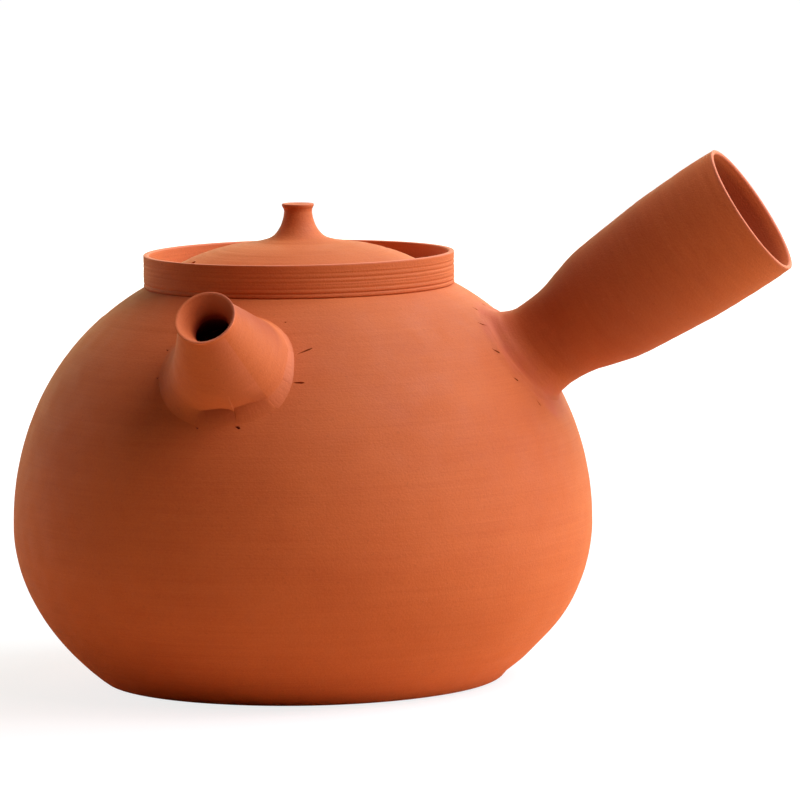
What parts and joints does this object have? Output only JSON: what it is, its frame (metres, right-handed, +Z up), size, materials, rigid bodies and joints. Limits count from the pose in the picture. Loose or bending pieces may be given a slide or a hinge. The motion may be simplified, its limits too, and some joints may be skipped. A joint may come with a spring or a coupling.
{
  "type": "clay water kettle",
  "caption": "Round side-handled kettle of unglazed red clay with a short trumpet spout, an upright collar, a hollow flared grip and a lift-off domed lid.",
  "frame": {"origin": "centre of the flat base, on the surface that the kettle stands on", "axes": "+Z up along the pot's axis of turning, -Y the way the spout points, +X roughly along the grip"},
  "size_m": [0.1963, 0.1522, 0.132],
  "materials": {
    "red_clay": "matte, unglazed, with fine turning lines"
  },
  "bodies": {
    "pot": {"pot_body": "red_clay", "collar": "red_clay", "spout": "red_clay", "grip": "red_clay"},
    "lid": {"lid_disc": "red_clay", "lid_flange": "red_clay", "lid_knob": "red_clay"}
  },
  "joints": [
    {"name": "lid_lift", "type": "slide", "parent": "pot", "child": "lid", "axis": [0, 0, 1], "range_m": [0, 0.06]}
  ]
}
